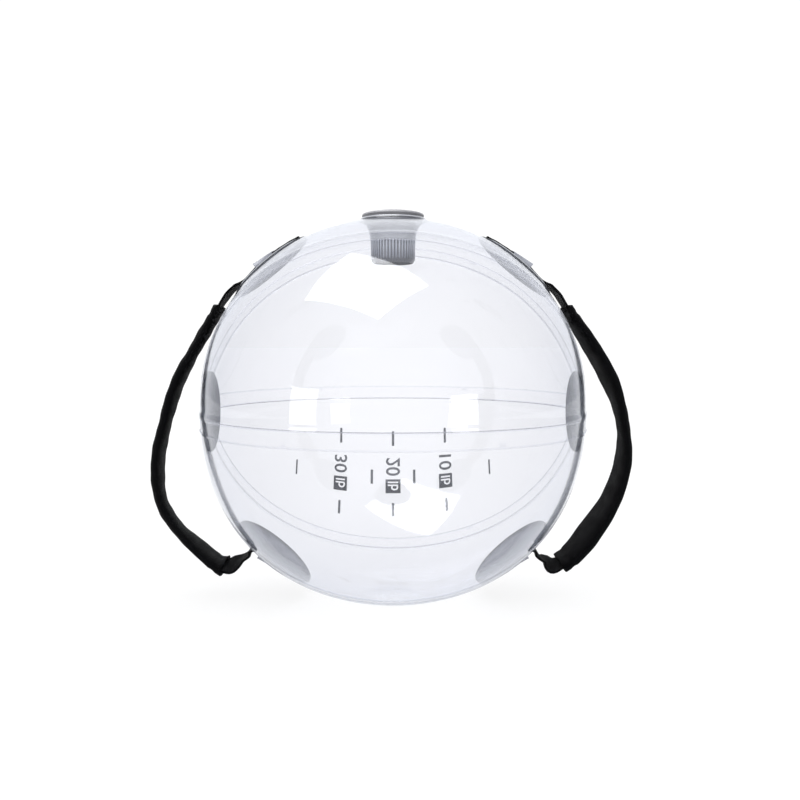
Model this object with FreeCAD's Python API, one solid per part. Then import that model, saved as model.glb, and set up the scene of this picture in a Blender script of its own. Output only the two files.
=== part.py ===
import FreeCAD, Part
import math
import os

# Clear training ball that is filled with water. Its skin is six welded gores whose points meet at
# the left and right poles, on the X axis. A screw-plug filler valve sits in the middle of the top
# gore, and a padded webbing handle hangs from two anchor discs on each side. Millimetres, +Z up.
# The origin is the centre of the small flat that the ball rests on, and its front faces -Y.

Vector = FreeCAD.Vector
X_AXIS = Vector(1, 0, 0)
Y_AXIS = Vector(0, 1, 0)
Z_AXIS = Vector(0, 0, 1)

# ---- driving dimensions ----
belt_radius = 163.0             # of the ball, halfway between its poles
pole_radius = 161.4             # from the ball's middle to each pole
shoulder_bulge = 2.7            # how far the ball stands out beyond an ellipse, halfway from belt to pole
film = 0.8                      # thickness of the clear film
rest_depth = 1.6                # how far the ball flattens where it stands
centre_z = belt_radius - rest_depth
reach = 270.0                   # longer than anything in the model, for cutting tools

gore_count = 6
gore_angle = 360.0 / gore_count
lap_width = 13.0                # of the raised weld lap, below each seam
lap_root = 1.5                  # how far the lap reaches onto its own gore, above the seam
gore_hole_radius = 11.0         # the gores stop short of the poles
pole_disc_radius = 36.0         # tinted disc inside each pole
pole_disc_thickness = 1.0
pole_cap_radius = 17.0          # clear disc outside each pole
clearance = 0.3                 # between pieces that lie side by side

anchor_latitude = 50.0          # middle of each handle anchor, degrees up or down from the X axis
anchor_radius = 40.0
anchor_thickness = 1.0
exit_latitude = 46.5            # where the webbing comes out of its anchor
tail_latitude = 62.0            # where the webbing ends under the anchor's cover
cover_radius = 30.0
cover_top = 5.9                 # height of the cover above the film, before it is tapered
cover_taper = 1.6               # how much lower the cover is a ball's radius further up

web_width = 30.0
web_thickness = 1.8
web_play = 0.25                 # round the webbing inside the cover and the grip
grip_width = 42.0
grip_thickness = 9.0
grip_fabric = 1.0               # thickness of the fabric round the foam
hem_length = 7.0                # at each end of a grip, with no foam in it
web_rest = 0.05                 # between the webbing and the disc that it lies on
cover_room = 0.75               # the ball falls away this much under the webbing's edges
station_spacing = 9.0           # between the sections of a handle
bend_spacing = 3.0              # between the sections of a webbing end, which bends more tightly
strap_joint_gap = 4.4           # between the fixed and the swinging webbing, which is one strap

crown_z = centre_z + belt_radius    # top of the ball, the zero of all valve heights
valve_hole_radius = 24.7
seat_radius = 23.4
seat_top = 0.6
seat_thickness = 1.9
bore_radius = 17.0
bush_radius = 18.4
neck_bottom = -17.8
cup_bottom = -37.0
rib_count = 44
rib_height = 0.6
rib_width = 1.3
thread_pitch = 5.0
thread_turns = 2.0
thread_bottom = -12.8
plug_core_radius = 15.2
plug_skirt_bottom = -15.0
plug_flange_radius = 26.2
gasket_thickness = 1.6
grip_bar_angle = 62.0           # of the bar across the plug's top, from the X axis
flap_seat_top = -28.8
flap_seat_thickness = 2.2
flap_travel = 2.5

left, right = -1, 1
upper, lower = 1, -1
side_names = {left: "left", right: "right"}
level_names = {upper: "upper", lower: "lower"}

# Middle lines of the webbing, in the plane of the handles: distance out from the ball's middle,
# height above it, and twist in degrees. The fixed ends go on from where they leave their anchors.
web_end_routes = {
    upper: [(118.5, 117.9, 2), (122.2, 114.8, 4), (126, 112, 4), (129.6, 109.6, 4), (133, 107.3, 4)],
    lower: [(117.4, -119.4, 0), (120.0, -119.4, 0), (122.3, -120.8, 3), (124.5, -123.1, 6)],
}
handle_routes = {
    left: [(133, 107.3, 4), (141, 98.9, -1), (149, 88, -3), (165, 61, 4), (184, 27, 6), (196, -8, 9),
           (203.6, -43.2, 8), (201.8, -77.6, 14), (188.8, -101.1, 14), (167.6, -121.7, 7),
           (152, -134.4, 3), (140.5, -135, -14), (131.5, -130, -4), (124.8, -123.3, 5)],
    right: [(133, 107.3, 4), (141, 98.6, 0), (149, 87, 2), (166.5, 60.8, 2), (185.7, 27.4, -1),
            (197.9, -8, 10), (199.6, -42, 4), (189.7, -76.6, 0), (170.6, -107.3, -6),
            (156.8, -124.8, -3), (145, -134, -2), (136.5, -134.6, -14), (130.5, -130.2, -4),
            (124.8, -123.3, 5)],
}
grip_insets = {upper: 23.6, lower: 27.0}    # bare webbing above and below each grip


# ---- helpers ----
def save(name, shape):
    """Writes one node."""
    assert len(shape.Solids) == 1 and shape.isValid(), (name, len(shape.Solids), shape.isValid())
    solid = shape.Solids[0]
    solid.exportStep("parts/%s.step" % name)
    box = solid.optimalBoundingBox()
    print("%-26s %9.1f mm3   x %7.1f %7.1f   y %7.1f %7.1f   z %7.1f %7.1f"
          % (name, solid.Volume, box.XMin, box.XMax, box.YMin, box.YMax, box.ZMin, box.ZMax))


def ball_centre():
    return Vector(0, 0, centre_z)


def skin_point(latitude, offset):
    """Point of the ball's outline, as (along X, away from X), moved out along its normal."""
    a = math.radians(latitude)
    radius = math.hypot(pole_radius * math.cos(a), belt_radius * math.sin(a))
    radius += shoulder_bulge * math.sin(2 * a) ** 2
    slope = (belt_radius ** 2 - pole_radius ** 2) * math.sin(2 * a) / (2 * belt_radius)
    slope += 2 * shoulder_bulge * math.sin(4 * a)
    tilt = a - math.atan2(slope, radius)
    return (radius * math.cos(a) + offset * math.cos(tilt),
            radius * math.sin(a) + offset * math.sin(tilt))


def ball_body(offset):
    """The ball's solid, with its surface moved out by offset."""
    outline = []
    for latitude in range(0, 181, 10):
        along, away = skin_point(latitude, offset)
        outline.append(Vector(along, 0, centre_z + max(away, 0)))
    curve = Part.BSplineCurve()
    curve.interpolate(Points=outline, InitialTangent=Z_AXIS, FinalTangent=-Z_AXIS)
    face = Part.Face(Part.Wire([curve.toShape(), Part.makeLine(outline[-1], outline[0])]))
    return face.revolve(ball_centre(), X_AXIS, 360)


def layer(low, high):
    """The space between two heights above the outside of the film."""
    return ball_body(high).cut(ball_body(low))


def rod_from_centre(radius, direction):
    """A long cylinder from the ball's middle outwards."""
    return Part.makeCylinder(radius, reach, ball_centre(), direction)


def in_handle_plane(side, level, latitude, radius=1.0):
    """A point or direction in the plane of the handles."""
    a = math.radians(latitude)
    return Vector(side * math.cos(a) * radius, 0, level * math.sin(a) * radius)


def latitude_wedge(side, level, low, high, half_width):
    """The space |y| < half_width between two latitudes."""
    corners = [Vector(0, 0, 0), in_handle_plane(side, level, low, reach),
               in_handle_plane(side, level, high, reach), Vector(0, 0, 0)]
    face = Part.Face(Part.makePolygon([c + ball_centre() - Y_AXIS * half_width for c in corners]))
    return face.extrude(Y_AXIS * 2 * half_width)


def turned(points):
    """A solid of revolution about the valve's axis, from (radius, height above the crown) points."""
    outline = [Vector(r, 0, crown_z + z) for r, z in points]
    return Part.Face(Part.makePolygon(outline + outline[:1])).revolve(Vector(0, 0, 0), Z_AXIS, 360)


def valve_cylinder(radius, bottom, top):
    return Part.makeCylinder(radius, top - bottom, Vector(0, 0, crown_z + bottom))


def thread_ridge(root_radius, crest_radius, root_width, crest_width, bottom):
    """A right-hand thread ridge, swept along a helix."""
    helix = Part.makeHelix(thread_pitch, thread_pitch * thread_turns, root_radius)
    profile = Part.makePolygon([Vector(root_radius, 0, -root_width / 2),
                                Vector(crest_radius, 0, -crest_width / 2),
                                Vector(crest_radius, 0, crest_width / 2),
                                Vector(root_radius, 0, root_width / 2),
                                Vector(root_radius, 0, -root_width / 2)])
    ridge = Part.Wire(helix).makePipeShell([profile], True, True)
    ridge.translate(Vector(0, 0, crown_z + bottom))
    return ridge


# ---- the ball's skin ----
def gore_wedge(start):
    """The space of one gore. Angles go round the X axis, 0 at the front and 90 at the top."""
    corners = [Vector(0, 0, 0)]
    for angle in (start, start + gore_angle / 2, start + gore_angle):
        a = math.radians(angle)
        corners.append(Vector(0, -math.cos(a) * reach, math.sin(a) * reach))
    corners.append(Vector(0, 0, 0))
    face = Part.Face(Part.makePolygon([c + ball_centre() - X_AXIS * reach for c in corners]))
    return face.extrude(X_AXIS * 2 * reach)


def lap_slab(angle):
    """A slab that holds the lap of the seam at this angle, from lap_width below to lap_root above."""
    slab = Part.makeBox(2 * reach, reach, lap_width + lap_root, Vector(-reach, -reach, -lap_width))
    slab.rotate(Vector(0, 0, 0), X_AXIS, -angle)
    slab.translate(ball_centre())
    return slab


def rod_through_poles(radius):
    return Part.makeCylinder(radius, 2 * reach, Vector(-reach, 0, centre_z), X_AXIS)


def above(height):
    return Part.makeBox(2 * reach, 2 * reach, 2 * reach, Vector(-reach, -reach, height))


def make_gores():
    skin = ball_body(0).common(above(0)).cut(ball_body(-film).common(above(film)))
    skin = skin.cut(rod_through_poles(gore_hole_radius))
    lap_layer = layer(0, film).cut(rod_through_poles(pole_cap_radius + clearance))
    filler_hole = valve_cylinder(valve_hole_radius, -belt_radius, belt_radius)
    for index in range(gore_count):
        start = index * gore_angle
        gore = skin.common(gore_wedge(start)).fuse(lap_layer.common(lap_slab(start)))
        if start < 90 < start + gore_angle:
            gore = gore.cut(filler_hole)
        save("skin_gore_%d" % (index + 1), gore)


def make_poles():
    disc_layer = layer(-film - pole_disc_thickness, -film)
    cap_layer = layer(0, film)
    for side in (left, right):
        save("pole_disc_%s" % side_names[side],
             disc_layer.common(rod_from_centre(pole_disc_radius, X_AXIS * side)))
        save("pole_cap_%s" % side_names[side],
             cap_layer.common(rod_from_centre(pole_cap_radius, X_AXIS * side)))


# ---- the handles ----
def section(middle, along, twist, width, thickness):
    """A flat section with round edges across a strap, as one closed wire."""
    outward = along.cross(Y_AXIS)
    if outward.x * middle.x < 0:
        outward = -outward
    t = math.radians(twist)
    across = Y_AXIS * math.cos(t) + outward * math.sin(t)
    through = outward * math.cos(t) - Y_AXIS * math.sin(t)
    side, top = (width - thickness) / 2, thickness / 2

    def at(a, b):
        return middle + across * a + through * b

    return Part.Wire([Part.LineSegment(at(-side, -top), at(side, -top)).toShape(),
                      Part.Arc(at(side, -top), at(side + top, 0), at(side, top)).toShape(),
                      Part.LineSegment(at(side, top), at(-side, top)).toShape(),
                      Part.Arc(at(-side, top), at(-side - top, 0), at(-side, -top)).toShape()])


def smooth_route(route):
    """A smooth curve through a route's points. Its X, Y and Z are distance out, twist and height."""
    curve = Part.BSplineCurve()
    curve.interpolate([Vector(out, twist, up) for out, up, twist in route])
    return curve


def strap(side, curve, start, end, width, thickness, spacing=station_spacing):
    """A strap along part of a route, between two distances from its first end."""
    count = max(2, math.ceil((end - start) / spacing))
    wires = []
    for i in range(count + 1):
        u = curve.parameterAtDistance(start + (end - start) * i / count, curve.FirstParameter)
        place, slope = curve.value(u), curve.tangent(u)[0]
        middle = Vector(side * place.x, 0, centre_z + place.z)
        along = Vector(side * slope.x, 0, slope.z).normalize()
        wires.append(section(middle, along, place.y, width, thickness))
    return Part.makeLoft(wires, True, True)


def make_anchor(side, level):
    name = "%s_%s" % (level_names[level], side_names[side])
    outward = in_handle_plane(side, level, anchor_latitude)
    disc = layer(0, anchor_thickness).common(rod_from_centre(anchor_radius, outward))
    save("anchor_disc_%s" % name, disc)

    tail = []
    for step in range(5):
        latitude = tail_latitude + (exit_latitude - tail_latitude) * step / 4
        out, up = skin_point(latitude, anchor_thickness + web_rest + web_thickness / 2)
        tail.append((out, level * up, 0))
    curve = smooth_route(tail + web_end_routes[level])
    save("web_end_%s" % name, strap(side, curve, 0, curve.length() - strap_joint_gap / 2,
                                    web_width, web_thickness, bend_spacing))

    uphill = in_handle_plane(side, level, anchor_latitude + 90)
    body = ball_body(cover_top)
    body.translate(-uphill * cover_taper - outward * cover_taper * 0.5)
    cover = body.cut(ball_body(anchor_thickness)).common(rod_from_centre(cover_radius, outward))
    cover = cover.common(latitude_wedge(side, level, exit_latitude + 0.4, 85, reach))
    pocket_top = anchor_thickness + web_rest + web_thickness + web_play + cover_room
    pocket = layer(anchor_thickness - film, pocket_top).common(
        latitude_wedge(side, level, exit_latitude - 5, tail_latitude + 0.2, web_width / 2 + web_play))
    save("anchor_cover_%s" % name, cover.cut(pocket))


def make_handle(side):
    name = side_names[side]
    curve = smooth_route(handle_routes[side])
    length = curve.length()
    first, last = grip_insets[upper], length - grip_insets[lower]
    print("%s handle: %.0f mm of webbing, %.0f mm of grip" % (name, length, last - first))
    save("handle_web_%s" % name,
         strap(side, curve, strap_joint_gap / 2, length - strap_joint_gap / 2, web_width, web_thickness))
    channel = strap(side, curve, strap_joint_gap / 2, length - strap_joint_gap / 2,
                    web_width + 2 * web_play, web_thickness + 2 * web_play)
    foam = strap(side, curve, first + hem_length, last - hem_length,
                 grip_width - 2 * grip_fabric, grip_thickness - 2 * grip_fabric)
    fabric = strap(side, curve, first, last, grip_width, grip_thickness)
    save("grip_foam_%s" % name, foam.cut(channel))
    save("grip_sleeve_%s" % name, fabric.cut(foam).cut(channel))


# ---- the filler valve ----
def make_collar():
    """Soft welded collar: a flange on the skin, and a neck that narrows into the ball."""
    inside = bush_radius + 0.05
    blank = turned([(seat_radius + 0.1, 0.6), (27.5, 0.0), (29.0, -2.2), (29.0, -4.0), (24.6, -4.0),
                    (23.0, -5.2), (21.2, -8.2), (19.9, -12.6), (19.3, neck_bottom), (inside, neck_bottom),
                    (inside, -12.6), (19.6, -8.6), (21.2, -5.4), (22.3, seat_top - seat_thickness),
                    (seat_radius + 0.1, seat_top - seat_thickness)])
    under_flange = layer(-20, 0).cut(valve_cylinder(24.6, -belt_radius, belt_radius))
    save("valve_collar", blank.cut(under_flange))


def make_valve_body():
    """Rigid threaded bush, with a seat on top and a ribbed cup inside the ball."""
    body = turned([(bore_radius, seat_top), (seat_radius, seat_top), (seat_radius, seat_top - seat_thickness),
                   (bush_radius, seat_top - seat_thickness), (bush_radius, cup_bottom + 3.0),
                   (bush_radius - 0.9, cup_bottom + 0.9), (bush_radius - 1.4, cup_bottom),
                   (bore_radius - 0.7, cup_bottom), (bore_radius, cup_bottom + 3.0)])
    rib_bottom = cup_bottom + 1.5
    rib_length = neck_bottom - 0.4 - rib_bottom
    envelope = turned([(0, neck_bottom), (bush_radius + rib_height, neck_bottom),
                       (bush_radius + rib_height * 0.3, cup_bottom + 3.0), (bush_radius - 1.4, cup_bottom),
                       (0, cup_bottom)])
    ribs = []
    for index in range(rib_count):
        rib = Part.makeBox(rib_height + 0.4, rib_width, rib_length,
                           Vector(bush_radius - 0.4, -rib_width / 2, crown_z + rib_bottom))
        rib.rotate(Vector(0, 0, 0), Z_AXIS, index * 360.0 / rib_count)
        ribs.append(rib.common(envelope))
    thread = thread_ridge(bore_radius + 0.2, bore_radius - 1.1, 2.2, 1.1, thread_bottom)
    save("valve_body", body.fuse(ribs + [thread]))


def make_flap_seat():
    """Spoked seat that snaps into the cup and carries the non-return flap."""
    bottom = flap_seat_top - flap_seat_thickness
    ring_inside = 13.6
    hub_radius = 3.6
    ring = turned([(ring_inside, bottom), (bore_radius - 0.05, bottom),
                   (bore_radius - 0.05, flap_seat_top), (ring_inside, flap_seat_top)])
    spokes = [valve_cylinder(hub_radius, bottom, flap_seat_top)]
    for index in range(3):
        spoke = Part.makeBox(ring_inside - hub_radius + 1.4, 2.2, flap_seat_thickness,
                             Vector(hub_radius - 1.0, -1.1, crown_z + bottom))
        spoke.rotate(Vector(0, 0, 0), Z_AXIS, 30 + index * 120)
        spokes.append(spoke)
    save("flap_seat", ring.fuse(spokes).cut(valve_cylinder(1.58, bottom - 1, flap_seat_top + 1)))


def make_check_flap():
    """Rubber non-return flap. Its knob keeps it on the seat."""
    top = flap_seat_top - flap_seat_thickness - 0.05
    knob = flap_seat_top + flap_travel + 0.1
    save("check_flap", turned([(0, top - 1.3), (14.9, top - 0.6), (15.3, top - 0.3), (15.0, top), (1.5, top),
                               (1.5, knob), (2.5, knob), (1.2, knob + 2.6), (0, knob + 2.6)]))


def make_plug():
    """Screw plug: a domed top with two finger pockets and a bar between them, over a threaded skirt."""
    flange_bottom = seat_top + gasket_thickness
    skirt_inside = plug_core_radius - 2.2
    blank = turned([(0, 7.4), (6.0, 7.2), (11.0, 6.7), (15.0, 6.0), (18.0, 5.4), (19.3, 4.9), (19.6, 4.3),
                    (24.6, 4.1), (25.8, 3.6), (plug_flange_radius, 3.0), (plug_flange_radius, flange_bottom),
                    (plug_core_radius, flange_bottom), (plug_core_radius, plug_skirt_bottom + 0.8),
                    (plug_core_radius - 0.8, plug_skirt_bottom), (skirt_inside, plug_skirt_bottom),
                    (skirt_inside, -1.4), (0, -1.4)])
    pockets = valve_cylinder(15.6, 1.6, 12.0)
    bar = Part.makeBox(32, 7, 12, Vector(-16, -3.5, crown_z))
    bar.rotate(Vector(0, 0, 0), Z_AXIS, grip_bar_angle)
    thread = thread_ridge(plug_core_radius - 0.2, plug_core_radius + 1.4, 2.0, 1.0,
                          thread_bottom + thread_pitch / 2)
    save("filler_plug", blank.cut(pockets.cut(bar)).fuse(thread))


def make_gasket():
    bottom, top = seat_top, seat_top + gasket_thickness
    inside, outside = plug_core_radius + 1.9, plug_flange_radius - 0.2
    save("plug_gasket", turned([(inside, bottom), (outside, bottom), (outside, top), (inside, top)]))


os.makedirs("parts", exist_ok=True)
make_gores()
make_poles()
for side in (left, right):
    for level in (upper, lower):
        make_anchor(side, level)
    make_handle(side)
make_collar()
make_valve_body()
make_flap_seat()
make_check_flap()
make_plug()
make_gasket()
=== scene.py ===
import bpy, math
from mathutils import Matrix, Vector


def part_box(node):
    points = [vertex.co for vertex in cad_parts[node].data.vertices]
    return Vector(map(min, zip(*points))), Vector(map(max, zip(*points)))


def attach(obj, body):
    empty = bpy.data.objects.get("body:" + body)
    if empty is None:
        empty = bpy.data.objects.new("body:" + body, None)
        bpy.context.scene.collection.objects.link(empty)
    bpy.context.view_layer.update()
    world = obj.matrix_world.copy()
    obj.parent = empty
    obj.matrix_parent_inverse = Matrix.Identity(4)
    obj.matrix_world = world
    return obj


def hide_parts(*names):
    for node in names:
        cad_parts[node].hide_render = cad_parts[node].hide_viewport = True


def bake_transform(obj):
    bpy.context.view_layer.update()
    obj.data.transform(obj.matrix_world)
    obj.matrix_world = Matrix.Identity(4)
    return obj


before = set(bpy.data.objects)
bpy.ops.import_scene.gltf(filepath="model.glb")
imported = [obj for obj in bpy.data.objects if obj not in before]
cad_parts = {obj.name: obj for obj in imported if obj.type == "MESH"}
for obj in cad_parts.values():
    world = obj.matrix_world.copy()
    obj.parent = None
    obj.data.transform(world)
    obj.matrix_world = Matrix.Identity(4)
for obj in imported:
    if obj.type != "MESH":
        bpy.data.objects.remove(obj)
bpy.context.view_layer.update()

# ---- measures of the ball, read from the frame ----
poleDiscLow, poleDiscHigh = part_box("pole_disc_right")
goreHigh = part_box("skin_gore_3")[1]
ball = {
    "film": 0.0008,
    "bulge": 0.0027,  # how far the shoulders stand out beyond an ellipse
    "seams": 6,
    "segments": 240,
    "rings": 120,
}
ball["pole"] = poleDiscHigh.x + ball["film"]
ball["belt"] = goreHigh.y
ball["centre"] = Vector((0, 0, (poleDiscLow.z + poleDiscHigh.z) / 2))
ball["crown"] = ball["centre"].z + ball["belt"]  # top of the film, where the valve sits


def onBall(point, height=0.0):
    # the point of the film straight out from the ball's middle, moved out by a height
    offset = point - ball["centre"]
    around = math.hypot(offset.y, offset.z)
    a = math.atan2(around, offset.x)
    radius = math.hypot(ball["pole"] * math.cos(a), ball["belt"] * math.sin(a))
    radius += ball["bulge"] * math.sin(2 * a) ** 2
    slope = (ball["belt"] ** 2 - ball["pole"] ** 2) * math.sin(2 * a) / (2 * ball["belt"])
    slope += 2 * ball["bulge"] * math.sin(4 * a)
    tilt = a - math.atan2(slope, radius)
    along = radius * math.cos(a) + height * math.cos(tilt)
    away = radius * math.sin(a) + height * math.sin(tilt)
    if around < 1e-9:
        return ball["centre"] + Vector((along, 0, 0))
    return ball["centre"] + Vector((along, away * offset.y / around, away * offset.z / around))


# ---- small helpers ----
def clearSelection():
    if bpy.context.object and bpy.context.object.mode != "OBJECT":
        bpy.ops.object.mode_set(mode="OBJECT")
    bpy.ops.object.select_all(action="DESELECT")


def pick(obj):
    clearSelection()
    obj.select_set(True)
    bpy.context.view_layer.objects.active = obj


def named(name):
    obj = bpy.context.object
    obj.name = name
    obj.data.name = name
    return obj


def applyPlace(obj):
    pick(obj)
    bpy.ops.object.transform_apply(location=True, rotation=True, scale=True)


def applyModifiers(obj):
    pick(obj)
    for modifier in list(obj.modifiers):
        bpy.ops.object.modifier_apply(modifier=modifier.name)


def addModifier(obj, kind, **settings):
    modifier = obj.modifiers.new(kind.title(), kind)
    for key, value in settings.items():
        setattr(modifier, key, value)
    return modifier


def smooth(obj, degrees=40):
    pick(obj)
    bpy.ops.object.shade_smooth_by_angle(angle=math.radians(degrees))


def faceOut(obj):
    pick(obj)
    bpy.ops.object.mode_set(mode="EDIT")
    bpy.ops.mesh.select_all(action="SELECT")
    bpy.ops.mesh.remove_doubles(threshold=0.000002)
    bpy.ops.mesh.normals_make_consistent(inside=False)
    bpy.ops.object.mode_set(mode="OBJECT")


def cutAway(obj, point, normal, clear=True):
    # bisects the whole mesh, and clears the side that the normal points to
    pick(obj)
    bpy.ops.object.mode_set(mode="EDIT")
    bpy.ops.mesh.select_all(action="SELECT")
    bpy.ops.mesh.bisect(plane_co=point, plane_no=normal, clear_outer=clear, clear_inner=False)
    bpy.ops.object.mode_set(mode="OBJECT")


def deleteFaces(obj, test):
    pick(obj)
    bpy.ops.object.mode_set(mode="EDIT")
    bpy.ops.mesh.select_mode(type="FACE")
    bpy.ops.mesh.select_all(action="DESELECT")
    bpy.ops.object.mode_set(mode="OBJECT")
    for face in obj.data.polygons:
        face.select = test(face.center)
    bpy.ops.object.mode_set(mode="EDIT")
    bpy.ops.mesh.delete(type="FACE")
    bpy.ops.object.mode_set(mode="OBJECT")


def finishPiece(obj, body, materialSlot, material, *replacedNodes):
    obj.data.materials.clear()
    obj.data.materials.append(material)
    if body:
        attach(obj, body)
    if replacedNodes:
        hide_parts(*replacedNodes)


# ---- material helpers ----
def newMaterial(name):
    material = bpy.data.materials.new(name)
    material.use_nodes = True
    tree = material.node_tree
    return material, tree, tree.nodes["Principled BSDF"]


def addNode(tree, kind, **values):
    node = tree.nodes.new(kind)
    for key, value in values.items():
        if key in node.inputs:
            node.inputs[key].default_value = value
        else:
            setattr(node, key, value)
    return node


def makeSpeckleGroup():
    # noise between two limits, in the object's own space: for tone, wear and roughness
    group = bpy.data.node_groups.new("mottle", "ShaderNodeTree")
    for name, value in (("Scale", 40.0), ("Detail", 4.0), ("Low", 0.3), ("High", 0.7)):
        socket = group.interface.new_socket(name=name, in_out="INPUT", socket_type="NodeSocketFloat")
        socket.default_value = value
    group.interface.new_socket(name="Value", in_out="OUTPUT", socket_type="NodeSocketFloat")
    entry = group.nodes.new("NodeGroupInput")
    place = group.nodes.new("ShaderNodeTexCoord")
    noise = group.nodes.new("ShaderNodeTexNoise")
    spread = group.nodes.new("ShaderNodeMapRange")
    leave = group.nodes.new("NodeGroupOutput")
    group.links.new(place.outputs["Object"], noise.inputs["Vector"])
    group.links.new(entry.outputs["Scale"], noise.inputs["Scale"])
    group.links.new(entry.outputs["Detail"], noise.inputs["Detail"])
    group.links.new(noise.outputs["Fac"], spread.inputs["Value"])
    spread.inputs["From Min"].default_value = 0.3
    spread.inputs["From Max"].default_value = 0.7
    group.links.new(entry.outputs["Low"], spread.inputs["To Min"])
    group.links.new(entry.outputs["High"], spread.inputs["To Max"])
    group.links.new(spread.outputs["Result"], leave.inputs["Value"])
    return group


mottleGroup = makeSpeckleGroup()


def mottle(tree, scale, low, high, detail=4.0):
    node = tree.nodes.new("ShaderNodeGroup")
    node.node_tree = mottleGroup
    for key, value in (("Scale", scale), ("Detail", detail), ("Low", low), ("High", high)):
        node.inputs[key].default_value = value
    return node.outputs["Value"]


def blendColour(tree, factor, first, second):
    mix = tree.nodes.new("ShaderNodeMix")
    mix.data_type = "RGBA"
    mix.inputs[6].default_value = (*first, 1)
    mix.inputs[7].default_value = (*second, 1)
    tree.links.new(factor, mix.inputs["Factor"])
    return mix.outputs[2]


def bumpFrom(tree, shader, height, strength, distance):
    bump = addNode(tree, "ShaderNodeBump", Strength=strength, Distance=distance)
    tree.links.new(height, bump.inputs["Height"])
    tree.links.new(bump.outputs["Normal"], shader.inputs["Normal"])


# ---- materials ----
def darkenRim(tree, haze, share, rim, rimShare):
    # a welded rim or seam is darker and lets less through, by the attribute "reach"
    reach = tree.nodes.new("ShaderNodeAttribute")
    reach.attribute_name = "reach"
    near = addNode(tree, "ShaderNodeMapRange")
    near.interpolation_type = "SMOOTHSTEP"
    near.inputs["From Min"].default_value = 0.84
    near.inputs["From Max"].default_value = 0.93
    tree.links.new(reach.outputs["Fac"], near.inputs["Value"])
    colour = tree.nodes.new("ShaderNodeMix")
    colour.data_type = "RGBA"
    colour.inputs[7].default_value = (*rim, 1)
    tree.links.new(near.outputs["Result"], colour.inputs["Factor"])
    tree.links.new(haze, colour.inputs[6])
    solid = addNode(tree, "ShaderNodeMix")
    solid.inputs[3].default_value = rimShare
    tree.links.new(near.outputs["Result"], solid.inputs["Factor"])
    tree.links.new(share, solid.inputs[2])
    return colour.outputs[2], solid.outputs[0]


def fadeLap(tree, whole):
    # two films welded face to face look like one, so the upper one hardly shows where "reach" is below 0
    reach = tree.nodes.new("ShaderNodeAttribute")
    reach.attribute_name = "reach"
    inLap = addNode(tree, "ShaderNodeMapRange")
    for key, value in (("From Min", 0.0), ("From Max", -1.0), ("To Max", 0.9)):
        inLap.inputs[key].default_value = value
    bare = tree.nodes.new("ShaderNodeBsdfTransparent")
    mix = tree.nodes.new("ShaderNodeMixShader")
    tree.links.new(reach.outputs["Fac"], inLap.inputs["Value"])
    tree.links.new(inLap.outputs["Result"], mix.inputs["Fac"])
    tree.links.new(whole.outputs[0], mix.inputs[1])
    tree.links.new(bare.outputs[0], mix.inputs[2])
    return mix


def makeFilm(name, look):
    # thin vinyl: what is behind shows through, darker where it is seen edge on, under a mirror gloss
    material, tree, shader = newMaterial(name)
    haze = blendColour(tree, mottle(tree, look["patch"], 0.0, 1.0), look["haze"], look["hazeDeep"])
    share = mottle(tree, look["patch"], look["thin"], look["thick"])
    if "rim" in look:
        haze, share = darkenRim(tree, haze, share, look["rim"], look["rimShare"])
    tree.links.new(haze, shader.inputs["Base Color"])
    tree.links.new(mottle(tree, 25.0, 0.35, 0.5), shader.inputs["Roughness"])
    ripple = addNode(tree, "ShaderNodeBump", Strength=look["ripple"], Distance=0.002)
    tree.links.new(mottle(tree, look["rippleScale"], 0.0, 1.0, 2.0), ripple.inputs["Height"])
    gloss = tree.nodes.new("ShaderNodeBsdfAnisotropic")
    gloss.inputs["Color"].default_value = (*look["gloss"], 1)
    tree.links.new(mottle(tree, 18.0, look["smooth"], look["dull"]), gloss.inputs["Roughness"])
    tree.links.new(ripple.outputs["Normal"], gloss.inputs["Normal"])
    edge = addNode(tree, "ShaderNodeLayerWeight", Blend=look["edgeBlend"])
    facing = addNode(tree, "ShaderNodeLayerWeight", Blend=0.5)
    steep = addNode(tree, "ShaderNodeMath", operation="POWER")
    steep.inputs[1].default_value = 5.0
    mirror = addNode(tree, "ShaderNodeMapRange")
    mirror.inputs["To Min"].default_value = look["headOn"]
    tree.links.new(facing.outputs["Facing"], steep.inputs[0])
    tree.links.new(steep.outputs[0], mirror.inputs["Value"])
    through = tree.nodes.new("ShaderNodeBsdfTransparent")
    tint = blendColour(tree, edge.outputs["Facing"], look["clear"], look["edge"])
    tree.links.new(tint, through.inputs["Color"])
    body = tree.nodes.new("ShaderNodeMixShader")
    tree.links.new(share, body.inputs["Fac"])
    tree.links.new(through.outputs[0], body.inputs[1])
    tree.links.new(shader.outputs[0], body.inputs[2])
    whole = tree.nodes.new("ShaderNodeMixShader")
    tree.links.new(mirror.outputs[0], whole.inputs["Fac"])
    tree.links.new(body.outputs[0], whole.inputs[1])
    tree.links.new(gloss.outputs[0], whole.inputs[2])
    if "rim" in look:
        whole = fadeLap(tree, whole)
    tree.links.new(whole.outputs[0], tree.nodes["Material Output"].inputs["Surface"])
    return material


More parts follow.
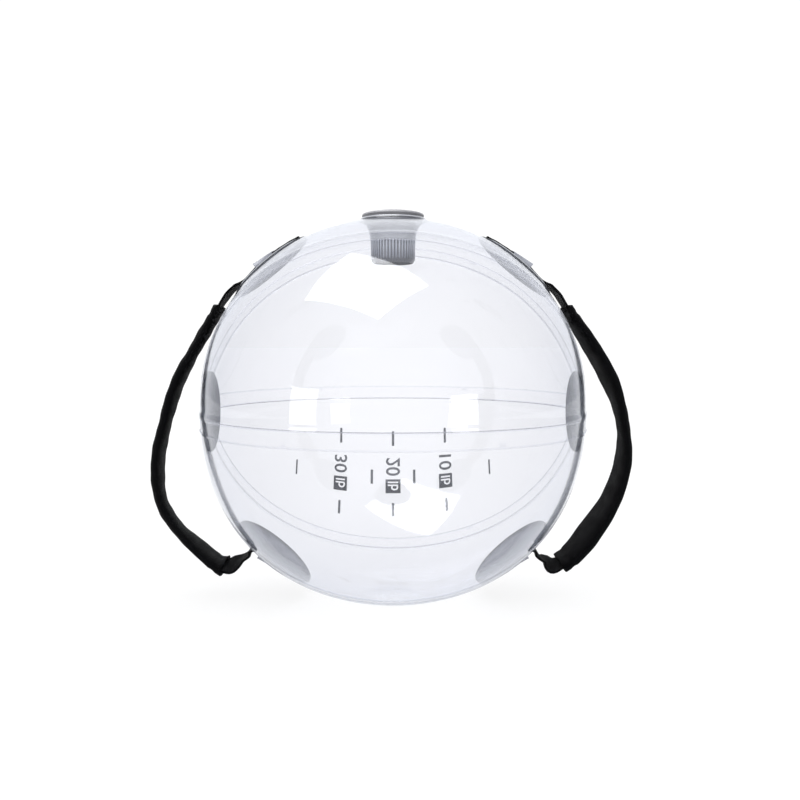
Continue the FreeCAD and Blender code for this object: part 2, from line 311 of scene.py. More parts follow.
clearFilm = makeFilm("clearFilm", {
    "clear": (0.970, 0.971, 0.980), "edge": (0.90, 0.905, 0.925), "edgeBlend": 0.27, "headOn": 0.04,
    "gloss": (0.92, 0.93, 0.95), "haze": (0.75, 0.76, 0.80), "hazeDeep": (0.66, 0.68, 0.74),
    "rim": (0.30, 0.31, 0.36), "rimShare": 0.5, "thin": 0.003, "thick": 0.012, "patch": 12.0,
    "smooth": 0.02, "dull": 0.05, "ripple": 0.03, "rippleScale": 7.0})
slateFilm = makeFilm("slateFilm", {
    "clear": (0.45, 0.47, 0.53), "edge": (0.08, 0.09, 0.12), "edgeBlend": 0.4, "headOn": 0.04,
    "gloss": (0.8, 0.82, 0.85), "haze": (0.12, 0.13, 0.16), "hazeDeep": (0.09, 0.10, 0.13),
    "thin": 0.35, "thick": 0.46, "patch": 30.0, "smooth": 0.10, "dull": 0.18, "ripple": 0.06,
    "rippleScale": 60.0})
discFilm = makeFilm("discFilm", {
    "clear": (0.60, 0.615, 0.65), "edge": (0.20, 0.215, 0.25), "edgeBlend": 0.3, "headOn": 0.03,
    "gloss": (0.6, 0.62, 0.65), "haze": (0.33, 0.34, 0.38), "hazeDeep": (0.26, 0.27, 0.31),
    "rim": (0.035, 0.037, 0.045), "rimShare": 0.86, "thin": 0.35, "thick": 0.5, "patch": 40.0,
    "smooth": 0.14, "dull": 0.24, "ripple": 0.08, "rippleScale": 90.0})
coverFilm = makeFilm("coverFilm", {
    "clear": (0.5, 0.51, 0.55), "edge": (0.3, 0.31, 0.35), "edgeBlend": 0.3, "headOn": 0.04,
    "gloss": (0.7, 0.72, 0.75), "haze": (0.30, 0.31, 0.35), "hazeDeep": (0.24, 0.25, 0.29),
    "thin": 0.75, "thick": 0.85, "patch": 60.0, "smooth": 0.14, "dull": 0.24, "ripple": 0.08,
    "rippleScale": 90.0})
collarFilm = makeFilm("collarFilm", {
    "clear": (0.86, 0.865, 0.885), "edge": (0.66, 0.67, 0.71), "edgeBlend": 0.3, "headOn": 0.04,
    "gloss": (0.9, 0.91, 0.93), "haze": (0.50, 0.51, 0.55), "hazeDeep": (0.43, 0.44, 0.48),
    "thin": 0.5, "thick": 0.6, "patch": 60.0, "smooth": 0.12, "dull": 0.22, "ripple": 0.06,
    "rippleScale": 120.0})


def makeMoulded(name, look):
    # moulded plastic or rubber with a faint grain
    material, tree, shader = newMaterial(name)
    tone = blendColour(tree, mottle(tree, look["patch"], 0.0, 1.0), look["colour"], look["worn"])
    tree.links.new(tone, shader.inputs["Base Color"])
    tree.links.new(mottle(tree, 160.0, look["smooth"], look["dull"]), shader.inputs["Roughness"])
    bumpFrom(tree, shader, mottle(tree, look["grain"], 0.0, 1.0), look["relief"], 0.0004)
    return material


plugPlastic = makeMoulded("plugPlastic", {
    "colour": (0.235, 0.235, 0.25), "worn": (0.29, 0.29, 0.305), "patch": 60, "smooth": 0.24, "dull": 0.38,
    "grain": 1400, "relief": 0.08})
valvePlastic = makeMoulded("valvePlastic", {
    "colour": (0.30, 0.32, 0.38), "worn": (0.38, 0.40, 0.46), "patch": 80, "smooth": 0.16, "dull": 0.28,
    "grain": 1200, "relief": 0.06})
sealRubber = makeMoulded("sealRubber", {
    "colour": (0.02, 0.02, 0.022), "worn": (0.035, 0.035, 0.037), "patch": 90, "smooth": 0.5, "dull": 0.65,
    "grain": 900, "relief": 0.1})
gasketRubber = makeMoulded("gasketRubber", {
    "colour": (0.10, 0.10, 0.11), "worn": (0.14, 0.14, 0.15), "patch": 90, "smooth": 0.4, "dull": 0.55,
    "grain": 900, "relief": 0.1})
printInk = makeMoulded("printInk", {
    "colour": (0.004, 0.006, 0.014), "worn": (0.012, 0.016, 0.028), "patch": 500, "smooth": 0.45, "dull": 0.6,
    "grain": 2500, "relief": 0.1})


def makeCloth(name, look):
    # woven cloth on the piece's own UV map, which is in metres
    material, tree, shader = newMaterial(name)
    place = tree.nodes.new("ShaderNodeUVMap")
    warp = addNode(tree, "ShaderNodeTexWave", Scale=look["warp"], Distortion=0.25)
    warp.wave_type, warp.bands_direction, warp.wave_profile = "BANDS", "X", "SIN"
    weft = addNode(tree, "ShaderNodeTexWave", Scale=look["weft"], Distortion=0.25)
    weft.wave_type, weft.bands_direction, weft.wave_profile = "BANDS", look["weftAlong"], "SIN"
    tree.links.new(place.outputs[0], warp.inputs["Vector"])
    tree.links.new(place.outputs[0], weft.inputs["Vector"])
    weave = addNode(tree, "ShaderNodeMath", operation="MULTIPLY")
    tree.links.new(warp.outputs["Fac"], weave.inputs[0])
    tree.links.new(weft.outputs["Fac"], weave.inputs[1])
    tone = blendColour(tree, weave.outputs[0], look["colour"], look["thread"])
    tree.links.new(tone, shader.inputs["Base Color"])
    tree.links.new(mottle(tree, 90.0, look["smooth"], look["dull"]), shader.inputs["Roughness"])
    shader.inputs["Specular IOR Level"].default_value = look["gloss"]
    puckers = mottle(tree, look["puckers"], 0.0, look["puckerDepth"], 2.0)
    height = addNode(tree, "ShaderNodeMath", operation="ADD")
    tree.links.new(weave.outputs[0], height.inputs[0])
    tree.links.new(puckers, height.inputs[1])
    bumpFrom(tree, shader, height.outputs[0], look["relief"], 0.0006)
    return material


webCloth = makeCloth("webCloth", {
    "warp": 260, "weft": 330, "weftAlong": "Y", "colour": (0.002, 0.002, 0.0025),
    "thread": (0.007, 0.007, 0.008), "smooth": 0.6, "dull": 0.75, "gloss": 0.05, "puckers": 60,
    "puckerDepth": 0.4, "relief": 0.55})
gripCloth = makeCloth("gripCloth", {
    "warp": 150, "weft": 150, "weftAlong": "DIAGONAL", "colour": (0.002, 0.002, 0.0025),
    "thread": (0.006, 0.006, 0.007), "smooth": 0.6, "dull": 0.75, "gloss": 0.04, "puckers": 120,
    "puckerDepth": 1.2, "relief": 0.6})
print("materials made")


# ---- the skin: six gores of film with weld laps ----
skin = {
    "lapWidth": 0.013,
    "lapRoot": 0.0015,  # the lap's raised film reaches this far onto its own gore
    "joggle": 0.0035,  # and comes down to the ball's surface over this length
    "poleHole": 0.011,
    "lapHole": 0.0173,
    "gap": 0.00005,
    "line": 0.0008,  # how wide the weld's edges look
}


def seamDirections(angle):
    # at a seam: straight out from the ball's axis, and square to that, uphill round the axis
    a = math.radians(angle)
    out = Vector((0, -math.cos(a), math.sin(a)))
    up = Vector((0, math.sin(a), math.cos(a)))
    return out, up


def makeBallSurface():
    clearSelection()
    bpy.ops.mesh.primitive_uv_sphere_add(segments=ball["segments"], ring_count=ball["rings"],
                                         radius=ball["belt"], location=ball["centre"],
                                         rotation=(0, math.radians(90), 0))
    surface = named("ballSurface")
    applyPlace(surface)
    for vertex in surface.data.vertices:
        vertex.co = onBall(vertex.co)
    return surface


def makeGore(index, surface, nodes):
    gore = surface.copy()
    gore.data = surface.data.copy()
    bpy.context.collection.objects.link(gore)
    gore.name = gore.data.name = "gore%d" % (index + 1)
    step = 360 / ball["seams"]
    out, up = seamDirections(index * step)
    endOut, endUp = seamDirections((index + 1) * step)
    centre = ball["centre"]
    cutAway(gore, centre, endUp)
    cutAway(gore, centre - up * skin["lapWidth"], -up)
    deleteFaces(gore, lambda c: (c - centre).dot(out + endOut) < 0)
    line = skin["line"]
    for edge in (line - skin["lapWidth"], 2 * line - skin["lapWidth"], -2 * line, -line, 0, line,
                 skin["lapRoot"] + skin["joggle"] / 2, skin["lapRoot"] + skin["joggle"]):
        cutAway(gore, centre + up * edge, up, clear=False)
    for side in (-1, 1):
        for radius in (skin["poleHole"], skin["lapHole"]):
            reach = ball["pole"] - radius ** 2 / (2 * ball["belt"] * 1.09)
            pole = Vector((side, 0, 0))
            cutAway(gore, centre + reach * pole, pole, radius == skin["poleHole"])

    def lifted(point):
        rise = (point - centre).dot(up)
        share = min(1, max(0, (rise - skin["lapRoot"]) / skin["joggle"]))
        return 1 - share * share * (3 - 2 * share)

    def inLapHole(point):
        return (point - centre).dot(up) < 0 and math.hypot(point.y, point.z - centre.z) < skin["lapHole"]

    deleteFaces(gore, inLapHole)
    shares = gore.data.attributes.new("reach", "FLOAT", "POINT")
    for vertex in gore.data.vertices:
        rise = (vertex.co - centre).dot(up)
        weld = 1 - abs(rise) / (4 * skin["line"])
        edge = 0.90 - (rise + skin["lapWidth"]) / (4 * skin["line"])
        inLap = 1.9 * line - skin["lapWidth"] < rise < -1.9 * line
        shares.data[vertex.index].value = -1 if inLap else max(0, weld, edge)
        vertex.co = onBall(vertex.co, (ball["film"] + skin["gap"]) * lifted(vertex.co))
    if index == 1:
        deleteFaces(gore, lambda c: math.hypot(c.x, c.y) < valve["hole"] and c.z > centre.z)
    if index == 4:
        for vertex in gore.data.vertices:
            vertex.co.z = max(vertex.co.z, 0)
    addModifier(gore, "SOLIDIFY", thickness=ball["film"] - skin["gap"], offset=-1, use_even_offset=False)
    applyModifiers(gore)
    smooth(gore, 30)
    finishPiece(gore, "ball", "clear_film", clearFilm, nodes)


valve = {
    "hole": 0.0247,
    "bush": 0.0184,
}

surface = makeBallSurface()
for index in range(ball["seams"]):
    makeGore(index, surface, "skin_gore_%d" % (index + 1))
bpy.data.objects.remove(surface)
print("gores made")


# ---- discs welded to the skin ----
def makeWrappedDisc(name, direction, radius, low, high, rings=8, relief=None):
    # a flat disc of rings, drawn facing up, turned to its direction and wrapped onto the ball
    clearSelection()
    bpy.ops.mesh.primitive_circle_add(vertices=96, radius=radius, fill_type="NGON")
    disc = named(name)
    bpy.ops.object.mode_set(mode="EDIT")
    bpy.ops.mesh.select_all(action="SELECT")
    for ring in range(rings - 1):
        bpy.ops.mesh.inset(thickness=radius / rings)
    bpy.ops.mesh.poke()
    bpy.ops.object.mode_set(mode="OBJECT")
    spots = [(math.hypot(v.co.x, v.co.y), v.index) for v in disc.data.vertices]
    turn = Vector((0, 0, 1)).rotation_difference(direction).to_matrix().to_4x4()
    disc.data.transform(Matrix.Translation(ball["centre"] + direction * ball["belt"]) @ turn)
    shares = disc.data.attributes.new("reach", "FLOAT", "POINT")
    for reach, i in spots:
        shares.data[i].value = reach / radius
        raised = relief(reach / radius) if relief else 0
        disc.data.vertices[i].co = onBall(disc.data.vertices[i].co, high + raised)
    addModifier(disc, "SOLIDIFY", thickness=high - low, offset=-1)
    applyModifiers(disc)
    smooth(disc, 40)
    return disc


poleDiscs = {"radius": 0.036, "thickness": 0.001}
poleCaps = {"radius": 0.017, "thickness": 0.0008}
for side, sideName in ((-1, "left"), (1, "right")):
    direction = Vector((side, 0, 0))
    disc = makeWrappedDisc("poleDisc_" + sideName, direction, poleDiscs["radius"],
                           -ball["film"] - poleDiscs["thickness"], -ball["film"] - skin["gap"])
    finishPiece(disc, "ball", "tinted_film", slateFilm, "pole_disc_" + sideName)
    cap = makeWrappedDisc("poleCap_" + sideName, direction, poleCaps["radius"], skin["gap"],
                          poleCaps["thickness"], 4)
    finishPiece(cap, "ball", "clear_film", clearFilm, "pole_cap_" + sideName)
print("pole discs made")


# ---- anchor discs and the keepers welded over the webbing ----
web = {
    "width": 0.030,
    "thickness": 0.0019,
    "lying": 0.048,  # this much of each end lies on its anchor disc
    "rest": 0.00105,  # its underside above the ball's surface, on an anchor disc
}
anchor = {
    "latitude": 50.0,
    "radius": 0.040,
    "thickness": 0.001,
    "rim": 0.0005,
    "keeperWidth": 0.044,
    "keeperLength": 0.021,
    "keeperTop": 0.0058,
    "keeperTail": 0.0036,
    "exit": 46.9,
    "tail": 62.0,
}


def inHandlePlane(side, level, latitude):
    a = math.radians(latitude)
    return Vector((side * math.cos(a), 0, level * math.sin(a)))


def makeKeeper(name, side, level, node):
    # the welded flap that holds the webbing down where it leaves its anchor, thickest there
    clearSelection()
    bpy.ops.mesh.primitive_cube_add(size=1)
    keeper = named(name)
    bpy.ops.object.mode_set(mode="EDIT")
    bpy.ops.mesh.subdivide(number_cuts=15)
    bpy.ops.object.mode_set(mode="OBJECT")
    outward = inHandlePlane(side, level, anchor["exit"])
    uphill = inHandlePlane(side, level, anchor["exit"] + 90)
    frameTurn = Matrix((Vector((0, 1, 0)), uphill, outward)).transposed()
    for vertex in keeper.data.vertices:
        across, along, through = vertex.co
        corner = 1 - 0.25 * (2 * abs(across)) ** 4 * (along + 0.5)
        sideways = across * anchor["keeperWidth"] * corner
        back = (along + 0.5) * anchor["keeperLength"] * (1 - 0.3 * (2 * abs(across)) ** 2.5)
        top = anchor["keeperTop"] - (anchor["keeperTop"] - anchor["keeperTail"]) * (along + 0.5) ** 0.7
        top -= 0.0026 * max(0, (2 * abs(across) - 0.86) / 0.14) ** 2
        low = anchor["thickness"] + 0.0001 if abs(across) > 0.42 else web["rest"] + web["thickness"] + 0.0002
        height = low + (through + 0.5) * max(0.0004, top - low)
        spot = ball["centre"] + frameTurn @ Vector((sideways, back, ball["belt"]))
        vertex.co = onBall(spot, height)
    faceOut(keeper)
    addModifier(keeper, "BEVEL", width=0.0005, segments=2, limit_method="ANGLE", angle_limit=math.radians(50))
    applyModifiers(keeper)
    smooth(keeper, 45)
    finishPiece(keeper, "ball", "anchor_vinyl", coverFilm, node)


def discRim(share):
    # a low welded bead near the edge of a disc
    return anchor["rim"] * math.exp(-((share - 0.9) / 0.05) ** 2)


for side, sideName in ((-1, "left"), (1, "right")):
    for level, levelName in ((-1, "lower"), (1, "upper")):
        name = "%s_%s" % (levelName, sideName)
        direction = inHandlePlane(side, level, anchor["latitude"])
        disc = makeWrappedDisc("anchorDisc_" + name, direction, anchor["radius"], skin["gap"],
                               anchor["thickness"], 20, discRim)
        finishPiece(disc, "ball", "anchor_vinyl", discFilm, "anchor_disc_" + name)
        makeKeeper("anchorKeeper_" + name, side, level, "anchor_cover_" + name)
print("anchors made")


# ---- webbing and grips, each drawn flat and laid along its route ----
grip = {
    "width": 0.042,
    "thickness": 0.0100,
    "edge": 0.0078,
    "insets": {1: 0.0236, -1: 0.0270},  # bare webbing above and below
    "hem": 0.0075,
    "pinch": 0.0009,  # how deep the hem's stitching draws the sleeve in
    "pinchWidth": 0.0016,
    "swell": 0.0005,
    "ripple": 0.0004,
    "rib": 0.0003,
    "waver": 0.012,  # share of its width that the sleeve's edge wanders
}
webEndRoutes = {  # millimetres out from the ball's middle, millimetres up, degrees of twist
    1: [(118.5, 117.9, 2), (122.2, 114.8, 6), (126, 112, 8), (129.6, 109.6, 7)],
    -1: [(117.4, -119.4, 0), (120.0, -119.4, 0), (122.3, -120.8, 3)],
}
handleRoutes = {
    -1: [(133, 107.3, 4), (141, 98.9, 3), (148.4, 87.6, 6), (165, 61, 10), (184, 27, 6), (196, -8, 9),
         (203.6, -43.2, 8), (201.8, -77.6, 14), (188.8, -101.1, 14), (167.6, -121.7, 7), (152, -134.4, 3),
         (140.5, -135, -14), (131.5, -130, -4), (124.8, -123.3, 5)],
    1: [(133, 107.3, 4), (141, 98.6, 3), (148.4, 86.6, 4), (166.3, 60.7, 0), (185.7, 27.4, -1),
        (197.9, -8, 10), (199.6, -42, 4), (189.7, -76.6, 0), (170.6, -107.3, -6), (156.8, -124.8, -3),
        (145, -134, -2), (136.5, -134.6, -14), (130.5, -130.2, -4), (124.8, -123.3, 5)],
}


def makeTrack(route):
    # a smooth run of short steps through a route, with the distance along it
    points = [Vector((out, up, twist)) for out, up, twist in route]
    ends = [2 * points[0] - points[1]] + points + [2 * points[-1] - points[-2]]
    steps = []
    for before, start, stop, after in zip(ends, ends[1:], ends[2:], ends[3:]):
        gap = (stop - start).length
        leaving = (stop - before) * gap / ((start - before).length + gap)
        arriving = (after - start) * gap / ((after - stop).length + gap)
        for i in range(24):
            t = i / 24
            steps.append(start * (2 * t ** 3 - 3 * t ** 2 + 1) + leaving * (t ** 3 - 2 * t ** 2 + t)
                         + stop * (3 * t ** 2 - 2 * t ** 3) + arriving * (t ** 3 - t ** 2))
    steps.append(points[-1])
    distances = [0.0]
    for first, second in zip(steps, steps[1:]):
        distances.append(distances[-1] + (second.xy - first.xy).length * 0.001)
    return steps, distances


def onTrack(track, side, distance):
    # the place, the way along, the way outward and the twist at a distance
    steps, distances = track
    i = 1
    while i < len(steps) - 1 and distances[i] < distance:
        i += 1
    share = (distance - distances[i - 1]) / (distances[i] - distances[i - 1])
    spot = steps[i - 1].lerp(steps[i], share)
    first, last = steps[max(0, i - 3)], steps[min(len(steps) - 1, i + 2)]
    slope = (last - first).xy.normalized()
    place = ball["centre"] + Vector((side * spot.x, 0, spot.y)) * 0.001
    along = Vector((side * slope.x, 0, slope.y))
    outward = Vector((-along.z, 0, along.x))
    if outward.dot(place - ball["centre"]) < 0:
        outward.negate()
    return place, along, outward, math.radians(spot.z)


def layAlong(obj, track, side):
    # moves a flat mesh, whose y is distance along the track, x across it and z through it
    for vertex in obj.data.vertices:
        place, along, outward, twist = onTrack(track, side, vertex.co.y)
        across = Vector((0, math.cos(twist), 0)) + outward * math.sin(twist)
        through = outward * math.cos(twist) - Vector((0, math.sin(twist), 0))
        vertex.co = place + across * vertex.co.x + through * vertex.co.z


def flatGrid(name, low, high, width, columns, pitch):
    # a grid in x and y with a UV map in metres
    clearSelection()
    rows = max(2, round((high - low) / pitch))
    bpy.ops.mesh.primitive_grid_add(x_subdivisions=columns, y_subdivisions=rows, size=1, calc_uvs=True)
    grid = named(name)
    for vertex in grid.data.vertices:
        vertex.co = Vector((vertex.co.x * width, low + (vertex.co.y + 0.5) * (high - low), 0))
    for corner in grid.data.uv_layers.active.data:
        corner.uv = (corner.uv[0] * width, corner.uv[1] * (high - low))
    return grid


def makeWebbing(name, side, level, track):
    # one end of a handle's webbing, from under its anchor's cover into the grip
    strap = flatGrid(name, 0.0, track[1][-1], web["width"], 12, 0.002)
    for vertex in strap.data.vertices:
        selvedge = min(1, (web["width"] / 2 - abs(vertex.co.x)) / 0.002)
        vertex.co.z = 0.00012 * math.sin(vertex.co.y * 2600) * (1 - selvedge)
        lying = min(1, max(0, 1 - (vertex.co.y - web["lying"]) / 0.014))
        vertex.co.z -= lying * vertex.co.x ** 2 / (2 * ball["belt"])
    layAlong(strap, track, side)
    faceOut(strap)
    addModifier(strap, "SOLIDIFY", thickness=web["thickness"], offset=0)
    addModifier(strap, "BEVEL", width=0.0004, segments=2, limit_method="ANGLE", angle_limit=math.radians(50))
    applyModifiers(strap)
    smooth(strap, 50)
    sideName = "left" if side < 0 else "right"
    levelName = "lower" if level < 0 else "upper"
    finishPiece(strap, None, "webbing", webCloth, "web_end_%s_%s" % (levelName, sideName),
                "handle_web_" + sideName)
    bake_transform(strap)


def tailRoute(level):
    # where the webbing lies on its disc, as distances out and up
    points = []
    for step in range(5):
        latitude = anchor["tail"] + (46.5 - anchor["tail"]) * step / 4
        a = math.radians(latitude)
        lift = web["rest"] + web["thickness"] / 2
        spot = onBall(ball["centre"] + Vector((math.cos(a), 0, math.sin(a))), lift)
        offset = (spot - ball["centre"]) * 1000
        points.append((offset.x, level * offset.z, 0))
    return points


def crown(across, around):
    # half the grip's thickness at a share of its half width
    half = grip["edge"] + (grip["thickness"] - grip["edge"]) * (1 - abs(across) ** 2.6) ** 0.75
    return half / 2 * around


def makeSleeve(name, side, track, low, high):
    sleeve = flatGrid(name, low, high, 1.0, 64, 0.0021)
    length = high - low
    for vertex in sleeve.data.vertices:
        turn = vertex.co.x * 2 * math.pi
        y = vertex.co.y
        fromEnd = min(y - low, high - y)
        across, around = math.cos(turn), math.sin(turn)
        flat = math.copysign(abs(across) ** 0.55, across)
        width = grip["width"] / 2
        pinch = grip["pinch"] * math.exp(-((fromEnd - grip["hem"]) / grip["pinchWidth"]) ** 2)
        swell = grip["swell"] * math.sin(y * 190 + 2.0 * side) + grip["ripple"] * math.sin(y * 417)
        rib = grip["rib"] * math.sin(y * 2100) * abs(across) ** 6
        sides = width * flat * (1 + grip["waver"] * math.sin(y * 260 + side))
        sides += math.copysign(rib, across) * abs(across)
        height = crown(flat, math.copysign(abs(around) ** 0.6, around))
        height -= math.copysign(min(abs(height), pinch), around)
        height += swell * around * (1 - abs(flat) ** 2) * 0.6
        vertex.co = Vector((sides, y, height))
    shutEnds(sleeve, low, high)
    layAlong(sleeve, track, side)
    faceOut(sleeve)
    smooth(sleeve, 60)
    body = "left_handle" if side < 0 else "right_handle"
    sideName = "left" if side < 0 else "right"
    finishPiece(sleeve, body, "grip_fabric", gripCloth, "grip_sleeve_" + sideName, "grip_foam_" + sideName)


def shutEnds(sleeve, low, high):
    # turns the ends inward, round the webbing
    pick(sleeve)
    bpy.ops.object.mode_set(mode="EDIT")
    bpy.ops.mesh.select_all(action="SELECT")
    bpy.ops.mesh.remove_doubles(threshold=0.00002)
    bpy.ops.mesh.select_all(action="DESELECT")
    bpy.ops.mesh.select_mode(type="EDGE")
    bpy.ops.mesh.select_non_manifold(extend=False, use_wire=False, use_multi_face=False,
                                     use_non_contiguous=False, use_verts=False)
    for shrinkX, shrinkZ, inward in ((0.985, 0.80, -0.0006), (0.96, 0.72, 0.0003), (0.80, 0.55, 0.0035)):
        bpy.ops.mesh.extrude_region_move()
        bpy.ops.object.mode_set(mode="OBJECT")
        for vertex in sleeve.data.vertices:
            if vertex.select:
                toEnd = -1 if vertex.co.y < (low + high) / 2 else 1
                x, y, z = vertex.co
                vertex.co = Vector((x * shrinkX, y - toEnd * inward, z * shrinkZ))
        bpy.ops.object.mode_set(mode="EDIT")
    bpy.ops.mesh.edge_face_add()
    bpy.ops.object.mode_set(mode="OBJECT")


for side, sideName in ((-1, "left"), (1, "right")):
    handle = handleRoutes[side]
    handleTrack = makeTrack(handle)
    length = handleTrack[1][-1]
    low, high = grip["insets"][1], length - grip["insets"][-1]
    makeSleeve("grip_" + sideName, side, handleTrack, low, high)
    for level, levelName in ((1, "upper"), (-1, "lower")):
        run = handle[:5] if level > 0 else handle[:-7:-1]
        inside = onTrack(handleTrack, side, low if level > 0 else high)[0]
        track = makeTrack(tailRoute(level) + webEndRoutes[level] + run)
        makeWebbing("webbing_%s_%s" % (levelName, sideName), side, level, track)
print("handles made")


# ---- the fill scale printed on the back ----
scale = {
    # pounds, and how far each line is from the middle, as a share of the radius
    "marks": {5: 0.592, 10: 0.333, 15: 0.136, 20: 0.0, 25: -0.136, 30: -0.333, 35: -0.592},
    "middle": 210.0,  # degrees round the ball's axis from the front
    "ink": 0.0001,
    "capHeight": 0.0149,
    "stroke": 0.0026,
    "dash": 0.0156,
    "box": 0.0157,
    "start": -0.0212,  # the first digit, along the reading direction
    "gaps": (0.0130, 0.0040, 0.0114),  # before the digits, before the box and after it
}


def flatBar(width, length, along):
    # a bar whose length lies along the reading direction, centred at a distance along it
    clearSelection()
    bpy.ops.mesh.primitive_cube_add(size=1)
    bar = named("bar")
    size = Matrix.Diagonal((length, width, scale["ink"], 1))
    bar.data.transform(Matrix.Translation((along, 0, scale["ink"] / 2)) @ size)
    return bar


def flatText(body, height, left, thickness):
    # a word as a thin solid, from a left edge along the reading direction, centred across it
    clearSelection()
    bpy.ops.object.text_add()
    text = bpy.context.object
    text.data.body = body
    text.data.extrude = 0.5
    text.data.offset = 0.012
    text.data.resolution_u = 6
    bpy.ops.object.convert(target="MESH")
    text = named("text")
    xs = [v.co.x for v in text.data.vertices]
    ys = [v.co.y for v in text.data.vertices]
    size = height / (max(ys) - min(ys))
    middle = (max(ys) + min(ys)) / 2
    place = Matrix.Translation((left, 0, scale["ink"] / 2))
    stretch = Matrix.Diagonal((size, size, thickness, 1))
    text.data.transform(place @ stretch @ Matrix.Translation((-min(xs), -middle, 0)))
    return text, left + size * (max(xs) - min(xs))


def printOnBall(pieces, level):
    clearSelection()
    for piece in pieces:
        piece.select_set(True)
    bpy.context.view_layer.objects.active = pieces[0]
    if len(pieces) > 1:
        bpy.ops.object.join()
    mark = named("mark")
    for i in range(-30, 31):
        cutAway(mark, (i * 0.0015, 0, 0), (1, 0, 0), clear=False)
    for i in range(-6, 7):
        cutAway(mark, (0, i * 0.0015, 0), (0, 1, 0), clear=False)
    x = scale["marks"][level] * ball["belt"]
    circle = math.sqrt(ball["belt"] ** 2 - x ** 2)
    for vertex in mark.data.vertices:
        turn = math.radians(scale["middle"]) + vertex.co.x / circle
        sideways = x - vertex.co.y * circle / ball["belt"]
        out = Vector((sideways, -circle * math.cos(turn), circle * math.sin(turn)))
        vertex.co = onBall(ball["centre"] + out, 0.00004 + vertex.co.z)
    return mark


marks = []
for level in scale["marks"]:
    if level % 10:
        marks.append(printOnBall([flatBar(scale["stroke"], scale["dash"], 0)], level))
        continue
    start = scale["start"]
    digits, end = flatText(str(level), scale["capHeight"], start, scale["ink"])
    boxStart = end + scale["gaps"][1]
    boxEnd = boxStart + scale["box"]
    box = flatBar(scale["box"], scale["box"], (boxStart + boxEnd) / 2)
    unit = flatText("lb", scale["box"] * 0.7, boxStart + scale["box"] * 0.16, 0.01)[0]
    addModifier(box, "BOOLEAN", object=unit, operation="DIFFERENCE", solver="EXACT")
    applyModifiers(box)
    bpy.data.objects.remove(unit)
    before = flatBar(scale["stroke"], scale["dash"], start - scale["gaps"][0] - scale["dash"] / 2)
    after = flatBar(scale["stroke"], scale["dash"], boxEnd + scale["gaps"][2] + scale["dash"] / 2)
    marks.append(printOnBall([digits, box, before, after], level))
clearSelection()
for mark in marks:
    mark.select_set(True)
bpy.context.view_layer.objects.active = marks[0]
bpy.ops.object.join()
fillScale = named("fillScale")
finishPiece(fillScale, "ball", "clear_film", printInk)
print("fill scale made")


# ---- the pieces that are shown as they were made in CAD ----
def fromAxis(tree):
    # distance from the valve's axis, and height
    place = tree.nodes.new("ShaderNodeTexCoord")
    split = tree.nodes.new("ShaderNodeSeparateXYZ")
    flat = tree.nodes.new("ShaderNodeCombineXYZ")
    away = addNode(tree, "ShaderNodeVectorMath", operation="LENGTH")
    tree.links.new(place.outputs["Object"], split.inputs[0])
    tree.links.new(split.outputs["X"], flat.inputs["X"])
    tree.links.new(split.outputs["Y"], flat.inputs["Y"])
    tree.links.new(flat.outputs[0], away.inputs[0])
    return away.outputs["Value"], split.outputs["Z"]


def darkenBelow(material, near, far, top, colour):
    # paints shade into a valve piece's colour below a height, as its distance from the axis goes from near to
    # far
    tree = material.node_tree
    shader = tree.nodes["Principled BSDF"]
    tone = shader.inputs["Base Color"].links[0].from_socket
    away, height = fromAxis(tree)
    shadeShare = addNode(tree, "ShaderNodeMapRange")
    shadeShare.inputs["From Min"].default_value = near
    shadeShare.inputs["From Max"].default_value = far
    low = addNode(tree, "ShaderNodeMath", operation="LESS_THAN")
    low.inputs[1].default_value = ball["crown"] + top
    both = addNode(tree, "ShaderNodeMath", operation="MULTIPLY")
    tree.links.new(away, shadeShare.inputs["Value"])
    tree.links.new(height, low.inputs[0])
    tree.links.new(shadeShare.outputs["Result"], both.inputs[0])
    tree.links.new(low.outputs[0], both.inputs[1])
    mix = tree.nodes.new("ShaderNodeMix")
    mix.data_type = "RGBA"
    mix.inputs[7].default_value = (*colour, 1)
    tree.links.new(both.outputs[0], mix.inputs["Factor"])
    tree.links.new(tone, mix.inputs[6])
    tree.links.new(mix.outputs[2], shader.inputs["Base Color"])


# painted shade in the grooves between the valve body's ribs, below the neck
darkenBelow(valvePlastic, valve["bush"] + 0.0004, valve["bush"] + 0.0001, -0.018, (0.03, 0.034, 0.05))
# painted shadow along the underside of the collar's outer flange
darkenBelow(collarFilm, 0.0262, 0.0266, -0.0012, (0.03, 0.032, 0.04))
cadLooks = {
    "valve_collar": collarFilm,
    "valve_body": valvePlastic,
    "flap_seat": valvePlastic,
    "check_flap": sealRubber,
    "filler_plug": plugPlastic,
    "plug_gasket": gasketRubber,
}
for node, material in cadLooks.items():
    part = bpy.data.objects[node]
    part.data.materials.clear()
    part.data.materials.append(material)
print("kept pieces finished")


# ---- stage, lamps and camera ----
studio = {
    "distance": 4.2,  # in ball radii
    "elevation": 5.0,
    "lens": 35.7,
    "shift": (0.00875, 0.01425),
    "floorTones": ((0.20, 0.20, 0.20), (0.22, 0.22, 0.22)),
    "floorGlow": 0.82,
    "backdrop": 1.07,
    "room": {"From Min": 0.40, "From Max": 0.95, "To Min": 1.30, "To Max": 0.60},  # darker to the sides
    "lamps": (  # name, direction from the ball, distance, width, height, power
        ("topSoftbox", (-0.19, -0.20, 0.96), 1.3, 0.95, 0.75, 12),
        ("leftWindow", (-0.70, -0.71, 0.06), 1.5, 0.4, 0.6, 2.4),
        ("rightWindow", (0.57, -0.82, 0.05), 1.5, 0.36, 0.5, 1.8),
    ),
}


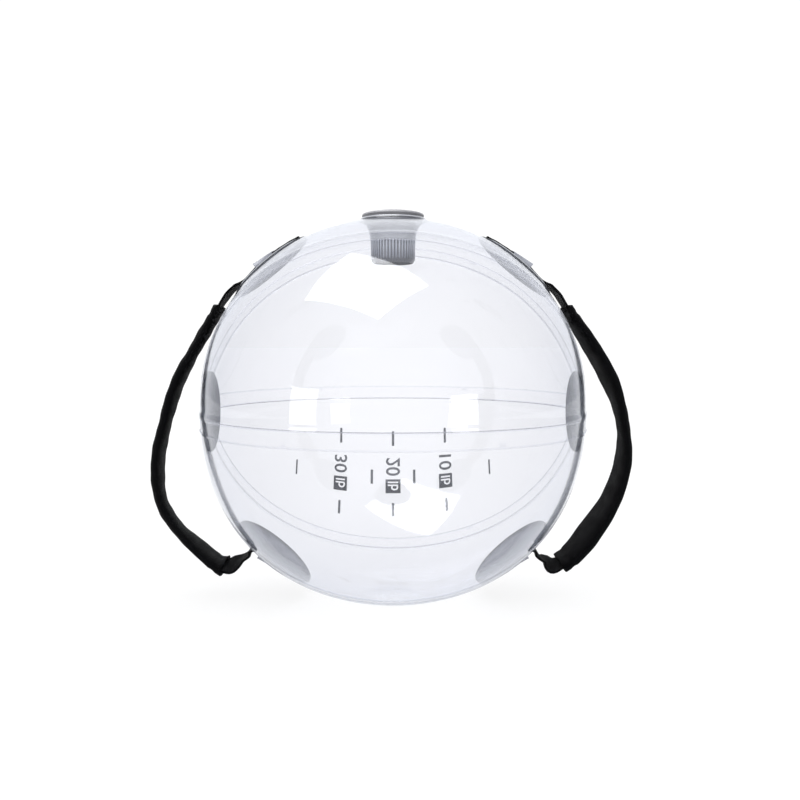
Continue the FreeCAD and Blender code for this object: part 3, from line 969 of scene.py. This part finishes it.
def makeStage():
    clearSelection()
    bpy.ops.mesh.primitive_plane_add(size=60, location=(0, 0, -0.0005))
    floor = named("floor")
    applyPlace(floor)
    material, tree, shader = newMaterial("paleFloor")
    tone = blendColour(tree, mottle(tree, 3.0, 0.0, 1.0), *studio["floorTones"])
    tree.links.new(tone, shader.inputs["Base Color"])
    shader.inputs["Roughness"].default_value = 0.9
    shader.inputs["Specular IOR Level"].default_value = 0.1
    shader.inputs["Emission Color"].default_value = (1, 1, 1, 1)
    shader.inputs["Emission Strength"].default_value = studio["floorGlow"]
    floor.data.materials.append(material)
    unlit = bpy.data.collections.new("lampsPassBy")
    unlit.objects.link(floor)
    unlit.collection_objects[0].light_linking.link_state = "EXCLUDE"
    return unlit


def addLamp(name, unlit, direction, distance, width, height, power):
    clearSelection()
    bpy.ops.object.light_add(type="AREA")
    lamp = named(name)
    lamp.data.shape = "RECTANGLE"
    lamp.data.size, lamp.data.size_y = width, height
    lamp.data.energy = power
    lamp.light_linking.receiver_collection = unlit
    away = Vector(direction).normalized()
    lamp.location = ball["centre"] + away * distance
    lamp.rotation_euler = away.to_track_quat("Z", "Y").to_euler()


def makeWorld():
    world = bpy.data.worlds.new("studioAir")
    bpy.context.scene.world = world
    world.use_nodes = True
    tree = world.node_tree
    backdrop = addNode(tree, "ShaderNodeBackground", Strength=studio["backdrop"])
    backdrop.inputs["Color"].default_value = (1, 1, 1, 1)
    room = tree.nodes["Background"]
    place = tree.nodes.new("ShaderNodeTexCoord")
    axes = tree.nodes.new("ShaderNodeSeparateXYZ")
    side = addNode(tree, "ShaderNodeMath", operation="ABSOLUTE")
    spread = addNode(tree, "ShaderNodeMapRange")
    for key, value in studio["room"].items():
        spread.inputs[key].default_value = value
    tree.links.new(place.outputs["Generated"], axes.inputs[0])
    tree.links.new(axes.outputs["X"], side.inputs[0])
    tree.links.new(side.outputs[0], spread.inputs["Value"])
    tree.links.new(spread.outputs["Result"], room.inputs["Strength"])
    room.inputs["Color"].default_value = (0.97, 0.98, 1.0, 1)
    path = tree.nodes.new("ShaderNodeLightPath")
    mix = tree.nodes.new("ShaderNodeMixShader")
    tree.links.new(path.outputs["Is Camera Ray"], mix.inputs["Fac"])
    tree.links.new(room.outputs[0], mix.inputs[1])
    tree.links.new(backdrop.outputs[0], mix.inputs[2])
    tree.links.new(mix.outputs[0], tree.nodes["World Output"].inputs["Surface"])


def makeCamera():
    clearSelection()
    bpy.ops.object.camera_add()
    camera = named("camera")
    tilt = math.radians(studio["elevation"])
    away = Vector((0, -math.cos(tilt), math.sin(tilt)))
    camera.location = ball["centre"] + away * studio["distance"] * ball["belt"]
    camera.rotation_euler = away.to_track_quat("Z", "Y").to_euler()
    camera.data.lens = studio["lens"]
    camera.data.shift_x, camera.data.shift_y = studio["shift"]
    camera.data.clip_start = 0.01
    bpy.context.scene.camera = camera


unlit = makeStage()
for name, *settings in studio["lamps"]:
    addLamp(name, unlit, *settings)
makeWorld()
makeCamera()
bpy.context.scene.view_settings.view_transform = "Standard"
bpy.context.scene.cycles.transparent_max_bounces = 48
print("studio made")
